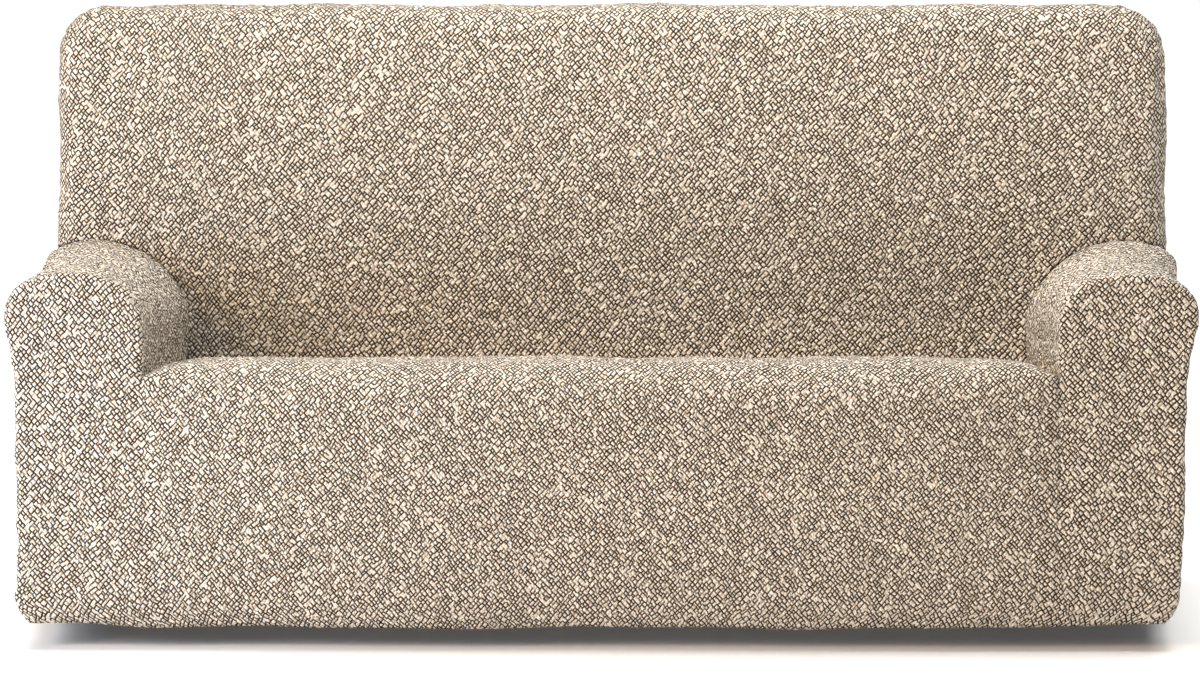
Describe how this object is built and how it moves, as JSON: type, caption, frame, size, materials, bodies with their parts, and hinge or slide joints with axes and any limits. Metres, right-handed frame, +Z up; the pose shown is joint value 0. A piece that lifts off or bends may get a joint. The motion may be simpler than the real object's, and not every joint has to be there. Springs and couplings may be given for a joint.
{
  "type": "sofa slipcover",
  "caption": "Fitted stretch slipcover of crinkled cream and brown cloth for a wide sofa with rolled arms, open underneath.",
  "frame": {"origin": "under the top of the back, on the inner side of its cloth, at mid-width and mid-depth of the back's flat top, where the sofa's back carries the cover", "axes": "+X to the right seen from the front, +Y from the front to the back, +Z up"},
  "size_m": [1.937, 0.9155, 0.974],
  "materials": {
    "seat_front": "matt crinkled stretch cloth",
    "arm_left": "matt crinkled stretch cloth",
    "arm_right": "matt crinkled stretch cloth",
    "inside_back": "matt crinkled stretch cloth",
    "outside_back": "matt crinkled stretch cloth"
  },
  "bodies": {
    "root": {"seat_front": "seat_front", "arm_left": "arm_left", "arm_right": "arm_right", "inside_back": "inside_back", "outside_back": "outside_back"}
  },
  "joints": []
}
